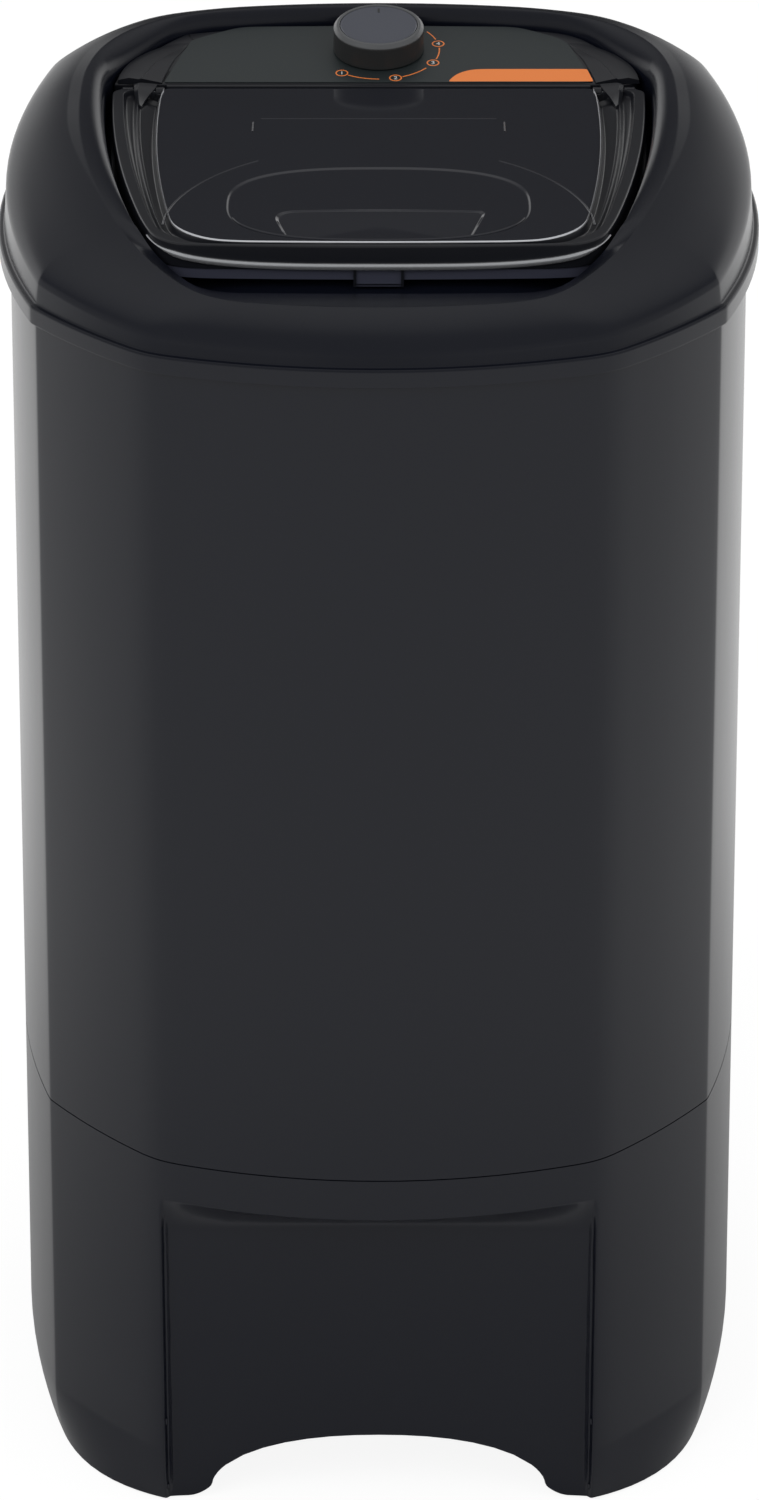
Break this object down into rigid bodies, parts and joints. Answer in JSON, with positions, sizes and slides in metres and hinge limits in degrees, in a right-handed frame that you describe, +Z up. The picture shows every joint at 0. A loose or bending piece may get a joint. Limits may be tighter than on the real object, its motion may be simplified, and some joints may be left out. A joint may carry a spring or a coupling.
{
  "type": "laundry spin dryer",
  "caption": "Free-standing laundry spin dryer: bowed black cabinet on an arched base, hinged smoked lid, sloping timer panel with a knob, and a spinning basket inside.",
  "frame": {"origin": "on the floor, at the centre of the bounding box seen from above, on the basket's spin axis", "axes": "+Z up; the front, with the lid's finger gap, faces -Y and the timer panel lies towards +Y; +X is to the right seen from the front"},
  "size_m": [0.4484, 0.4659, 0.8286],
  "materials": {
    "shell_black": "satin gloss, lightly moulded",
    "lid_black": "fine satin",
    "film_grey": null,
    "smoked_plastic": "polished smoked pane",
    "trim_silver": "satin silver",
    "inlay_grey": "satin blue-grey",
    "knob_black": "fine matt",
    "tub_grey": "plain moulded",
    "basket_steel": "bright rolled sheet",
    "zinc_steel": "zinc plated",
    "motor_grey": "sprayed enamel",
    "winding_copper": "varnished windings",
    "rubber_black": "matt",
    "white_plastic": "plain moulded"
  },
  "bodies": {
    "casing": {"base": "shell_black", "cabinet_body": "shell_black", "base_screw_1": "zinc_steel", "base_screw_2": "zinc_steel", "rubber_foot_1": "rubber_black", "rubber_foot_2": "rubber_black", "rubber_foot_3": "rubber_black", "rubber_foot_4": "rubber_black", "top_cover": "shell_black", "cover_screw_1": "zinc_steel", "cover_screw_2": "zinc_steel", "control_panel": "lid_black", "hinge_pin_left": "zinc_steel", "hinge_pin_right": "zinc_steel", "panel_overlay": "film_grey", "hinge_cover_left": "lid_black", "hinge_cover_right": "lid_black", "timer": "zinc_steel", "interlock_switch": "white_plastic", "tub": "tub_grey", "tub_seal": "rubber_black", "drain_elbow": "tub_grey", "motor_lower_shell": "motor_grey", "motor_upper_shell": "motor_grey", "lower_bearing": "zinc_steel", "upper_bearing": "zinc_steel", "stator": "winding_copper", "motor_plate": "zinc_steel", "rubber_mount_1": "rubber_black", "rubber_mount_2": "rubber_black", "rubber_mount_3": "rubber_black", "mount_bolt_1": "zinc_steel", "mount_bolt_2": "zinc_steel", "mount_bolt_3": "zinc_steel", "brake_pivot": "zinc_steel", "brake_cable": "rubber_black", "capacitor": "white_plastic", "capacitor_clip": "zinc_steel", "terminal_block": "white_plastic", "cord_gland": "rubber_black", "wiring_loom": "rubber_black"},
    "lid": {"lid_frame": "lid_black", "lid_window": "smoked_plastic", "lid_trim": "trim_silver", "lid_latch": "lid_black"},
    "timer_knob": {"knob": "knob_black", "knob_cap": "inlay_grey", "timer_shaft": "zinc_steel"},
    "spinner": {"basket": "basket_steel", "basket_rim": "basket_steel", "basket_ring": "tub_grey", "basket_nut": "tub_grey", "drive_shaft": "zinc_steel", "rotor": "zinc_steel", "cooling_fan": "tub_grey", "brake_drum": "zinc_steel"},
    "plunger": {"interlock_plunger": "white_plastic"},
    "brake": {"brake_arm": "zinc_steel"}
  },
  "joints": [
    {"name": "lid_hinge", "type": "hinge", "parent": "casing", "child": "lid", "pos_m": [0, 0.1195, 0.7973], "axis": [-1, 0, 0], "range_deg": [0, 100]},
    {"name": "knob_turn", "type": "hinge", "parent": "casing", "child": "timer_knob", "pos_m": [0, 0.1673, 0.80661], "axis": [0, 0.1582, -0.9874], "range_deg": [0, 300]},
    {"name": "basket_spin", "type": "hinge", "parent": "casing", "child": "spinner", "pos_m": [0, 0, 0.3], "axis": [0, 0, 1], "continuous": true},
    {"name": "plunger_slide", "type": "slide", "parent": "casing", "child": "plunger", "axis": [0, 0, 1], "range_m": [0, 0.004]},
    {"name": "brake_swing", "type": "hinge", "parent": "casing", "child": "brake", "pos_m": [0.046, 0.066, 0.171], "axis": [0, 0, 1], "range_deg": [0, 3.01]}
  ],
  "couplings": [
    {"joint": "plunger_slide", "follows": "lid_hinge", "m_per_rad": 0.00229},
    {"joint": "brake_swing", "follows": "lid_hinge", "ratio": 0.03}
  ]
}
